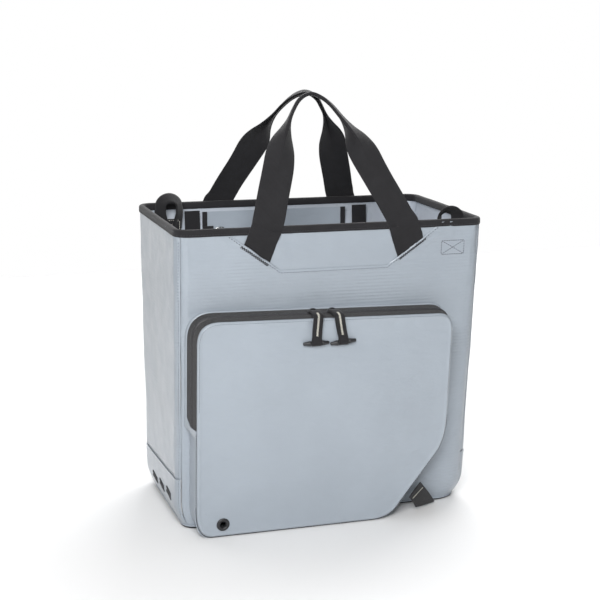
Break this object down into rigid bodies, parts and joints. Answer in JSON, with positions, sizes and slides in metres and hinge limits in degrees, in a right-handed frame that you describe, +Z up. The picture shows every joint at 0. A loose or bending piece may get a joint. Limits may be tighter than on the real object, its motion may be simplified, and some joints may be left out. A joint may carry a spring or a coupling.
{
  "type": "insulated cooler bag",
  "caption": "Open-topped insulated tote with foam-lined walls, a zipped pocket on the front, webbing handles and a zip closure inside the mouth.",
  "frame": {"origin": "on the floor, under the middle of the whole bag's width and depth, pocket and handles included", "axes": "+Z up; +Y from the front, which carries the pocket, to the back; +X to the right of someone facing the front"},
  "size_m": [0.41, 0.2762, 0.5537],
  "materials": {
    "shell_fabric": "satin",
    "pocket_fabric": "satin",
    "foam": "matte",
    "board": "matte",
    "lining_fabric": "satin",
    "webbing": "matte",
    "binding": "matte",
    "zip_tape": "matte",
    "zip_coil": "satin",
    "black_plastic": "satin",
    "nickel": "satin",
    "light_thread": "satin",
    "grey_thread": "matte",
    "dark_thread": "matte"
  },
  "bodies": {
    "bag": {"shell_front": "shell_fabric", "shell_front_yoke": "shell_fabric", "shell_back": "shell_fabric", "shell_back_yoke": "shell_fabric", "shell_left": "shell_fabric", "shell_left_wrap": "shell_fabric", "shell_right": "shell_fabric", "shell_right_wrap": "shell_fabric", "shell_base": "shell_fabric", "foam_base": "foam", "foam_front": "foam", "foam_right": "foam", "foam_back": "foam", "foam_left": "foam", "stiffener_board": "board", "liner_base": "lining_fabric", "liner_front": "lining_fabric", "liner_right": "lining_fabric", "liner_back": "lining_fabric", "liner_left": "lining_fabric", "rim_binding_front": "binding", "rim_binding_right": "binding", "rim_binding_back": "binding", "rim_binding_left": "binding", "front_handle_left_anchor": "webbing", "front_handle_right_anchor": "webbing", "rear_handle_left_anchor": "webbing", "rear_handle_right_anchor": "webbing", "corner_tab": "webbing", "closure_left_strap": "webbing", "closure_right_strap": "webbing", "strap_loop_back_left": "webbing", "strap_loop_front_right": "webbing", "pocket_lower_panel": "pocket_fabric", "pocket_gusset": "pocket_fabric", "pocket_inner_stringer": "zip_tape", "drain_grommet": "black_plastic", "drain_grommet_washer": "black_plastic"},
    "front_handle": {"front_handle_strap": "webbing"},
    "rear_handle": {"rear_handle_strap": "webbing"},
    "pocket_flap": {"pocket_flap_panel": "pocket_fabric", "pocket_outer_stringer": "zip_tape"},
    "left_slider": {"pocket_left_slider": "black_plastic"},
    "right_slider": {"pocket_right_slider": "black_plastic"},
    "left_pull": {"left_pull_webbing": "webbing", "left_pull_toggle": "black_plastic"},
    "right_pull": {"right_pull_webbing": "webbing", "right_pull_toggle": "black_plastic"},
    "closure_back": {"closure_back_panel": "lining_fabric", "closure_back_stringer": "zip_tape", "closure_end_tab": "webbing"},
    "closure_front": {"closure_front_panel": "lining_fabric", "closure_front_stringer": "zip_tape"},
    "closure_runner": {"closure_slider": "nickel"},
    "closure_pull": {"closure_zip_pull": "nickel"}
  },
  "joints": [
    {"name": "front_handle_swing", "type": "hinge", "parent": "bag", "child": "front_handle", "pos_m": [0, -0.1005, 0.389], "axis": [1, 0, 0], "range_deg": [0, 158]},
    {"name": "rear_handle_swing", "type": "hinge", "parent": "bag", "child": "rear_handle", "pos_m": [0, 0.1381, 0.389], "axis": [-1, 0, 0], "range_deg": [0, 180]},
    {"name": "pocket_flap_open", "type": "hinge", "parent": "bag", "child": "pocket_flap", "pos_m": [0, -0.128, 0.138], "axis": [1, 0, 0], "range_deg": [0, 20]},
    {"name": "left_slider_slide", "type": "slide", "parent": "pocket_flap", "child": "left_slider", "axis": [0.9998, 0, -0.022], "range_m": [-0.12, 0]},
    {"name": "right_slider_slide", "type": "slide", "parent": "pocket_flap", "child": "right_slider", "axis": [0.9998, 0, -0.022], "range_m": [0, 0.11]},
    {"name": "left_pull_swing", "type": "hinge", "parent": "left_slider", "child": "left_pull", "pos_m": [-0.0345, -0.1184, 0.2825], "axis": [-1, 0, 0], "range_deg": [0, 100]},
    {"name": "right_pull_swing", "type": "hinge", "parent": "right_slider", "child": "right_pull", "pos_m": [-0.009, -0.1184, 0.2819], "axis": [-1, 0, 0], "range_deg": [0, 100]},
    {"name": "closure_back_swing", "type": "hinge", "parent": "bag", "child": "closure_back", "pos_m": [0, 0.1194, 0.376], "axis": [-1, 0, 0], "range_deg": [0, 90]},
    {"name": "closure_front_swing", "type": "hinge", "parent": "bag", "child": "closure_front", "pos_m": [0, -0.0818, 0.376], "axis": [1, 0, 0], "range_deg": [0, 90]},
    {"name": "closure_slider_slide", "type": "slide", "parent": "closure_back", "child": "closure_runner", "axis": [1, 0, 0], "range_m": [0, 0.17]},
    {"name": "closure_pull_swing", "type": "hinge", "parent": "closure_runner", "child": "closure_pull", "pos_m": [-0.093, 0.1125, 0.3415], "axis": [-1, 0, 0], "range_deg": [0, 120]}
  ]
}
